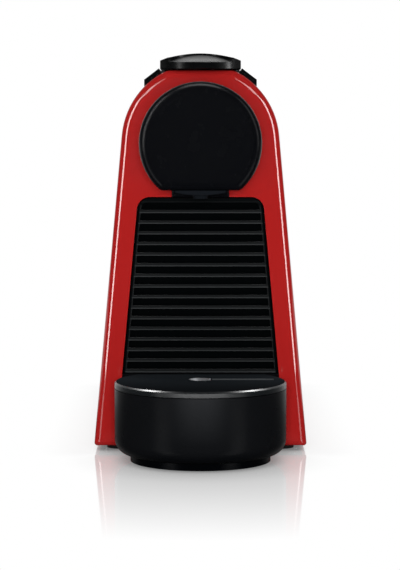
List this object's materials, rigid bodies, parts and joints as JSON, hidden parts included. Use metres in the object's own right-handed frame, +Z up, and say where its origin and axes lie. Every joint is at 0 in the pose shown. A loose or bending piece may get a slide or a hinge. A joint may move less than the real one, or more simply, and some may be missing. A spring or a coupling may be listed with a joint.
{
  "type": "pod coffee machine",
  "caption": "Compact pod coffee machine with an arched red hood, round brew head, lift-up lever, ribbed capsule container, round drip tray and rear water tank.",
  "frame": {"origin": "under the middle of the machine's box, on the surface it stands on", "axes": "+Z up, -Y to the front where the cup stands, +X to the right seen from the front"},
  "size_m": [0.1098, 0.325, 0.2045],
  "materials": {
    "red_plastic": "satin moulded",
    "black_plastic": "fine matte",
    "black_gloss": "polished",
    "grey_plastic": "moulded",
    "smoked_clear": "clear smoked",
    "steel": "brushed",
    "aluminium": "die cast",
    "brass": "turned",
    "rubber": "soft",
    "silicone": "translucent",
    "board_green": "solder mask",
    "white_plastic": "moulded",
    "copper": "enamelled wire"
  },
  "bodies": {
    "housing": {"body_shell": "red_plastic", "base_plate": "black_plastic", "rear_panel": "black_plastic", "tank_seat": "black_plastic", "feet": "rubber", "base_screws": "steel", "cord_gland": "rubber", "head_cap": "black_plastic", "outlet_collar": "black_gloss", "spout": "black_gloss", "bay_liner": "black_plastic", "bay_bulkhead": "black_plastic", "brew_frame": "grey_plastic", "piercing_plate": "steel", "injector_tube": "brass", "lever_pin": "steel", "top_trim": "black_gloss", "left_switch_board": "board_green", "right_switch_board": "board_green", "button_switches": "black_plastic", "inlet_spigot": "black_plastic", "tank_seal": "rubber", "flow_meter_body": "white_plastic", "flow_meter_cap": "white_plastic", "pump_barrel": "white_plastic", "pump_coil": "copper", "pump_frame": "steel", "pump_mounts": "rubber", "pump_cradle": "black_plastic", "thermoblock": "aluminium", "thermoblock_spacers": "steel", "thermostat": "steel", "thermal_fuse": "white_plastic", "control_board": "board_green", "board_standoffs": "white_plastic", "board_parts": "black_plastic", "tank_hose": "silicone", "suction_hose": "silicone", "pressure_hose": "silicone", "brew_hose": "silicone"},
    "lever": {"lever": "black_gloss", "left_cam_plate": "grey_plastic", "right_cam_plate": "grey_plastic"},
    "cage": {"capsule_cage": "grey_plastic", "cage_needles": "steel", "cage_pin": "steel"},
    "left_button": {"left_button": "black_gloss"},
    "right_button": {"right_button": "black_gloss"},
    "container": {"container_front": "black_plastic", "container_bin": "black_plastic"},
    "tray": {"drip_tray": "black_plastic"},
    "tray_cover": {"drip_tray_cover": "black_plastic", "drain_ring": "steel"},
    "tank": {"water_tank": "smoked_clear", "tank_lid_pin": "steel", "valve_cage": "white_plastic", "valve_spring": "steel"},
    "tank_lid": {"tank_lid": "black_plastic"},
    "valve": {"tank_valve": "white_plastic"},
    "rotor": {"flow_rotor": "white_plastic"}
  },
  "joints": [
    {"name": "lever_hinge", "type": "hinge", "parent": "housing", "child": "lever", "pos_m": [0, 0.018, 0.183], "axis": [-1, 0, 0], "range_deg": [0, 80]},
    {"name": "cage_slide", "type": "slide", "parent": "housing", "child": "cage", "axis": [0, 1, 0], "range_m": [0, 0.03]},
    {"name": "left_button_press", "type": "slide", "parent": "housing", "child": "left_button", "axis": [0, 0, -1], "range_m": [0, 0.0015], "stiffness_N_per_m": 400},
    {"name": "right_button_press", "type": "slide", "parent": "housing", "child": "right_button", "axis": [0, 0, -1], "range_m": [0, 0.0015], "stiffness_N_per_m": 400},
    {"name": "container_slide", "type": "slide", "parent": "housing", "child": "container", "axis": [0, -1, 0], "range_m": [0, 0.085]},
    {"name": "tray_pull", "type": "slide", "parent": "housing", "child": "tray", "axis": [0, -1, 0], "range_m": [0, 0.1]},
    {"name": "cover_lift", "type": "slide", "parent": "tray", "child": "tray_cover", "axis": [0, 0, 1], "range_m": [0, 0.03]},
    {"name": "tank_lift", "type": "slide", "parent": "housing", "child": "tank", "axis": [0, 0, 1], "range_m": [0, 0.16]},
    {"name": "lid_hinge", "type": "hinge", "parent": "tank", "child": "tank_lid", "pos_m": [0, 0.16, 0.1722], "axis": [-1, 0, 0], "range_deg": [0, 95]},
    {"name": "valve_push", "type": "slide", "parent": "tank", "child": "valve", "axis": [0, 0, 1], "range_m": [0, 0.002], "stiffness_N_per_m": 300, "deforming": ["valve_spring"]},
    {"name": "rotor_spin", "type": "hinge", "parent": "housing", "child": "rotor", "pos_m": [0, 0.086, 0.015], "axis": [0, 0, 1], "continuous": true}
  ],
  "couplings": [
    {"joint": "cage_slide", "follows": "lever_hinge", "m_per_rad": 0.021485}
  ]
}
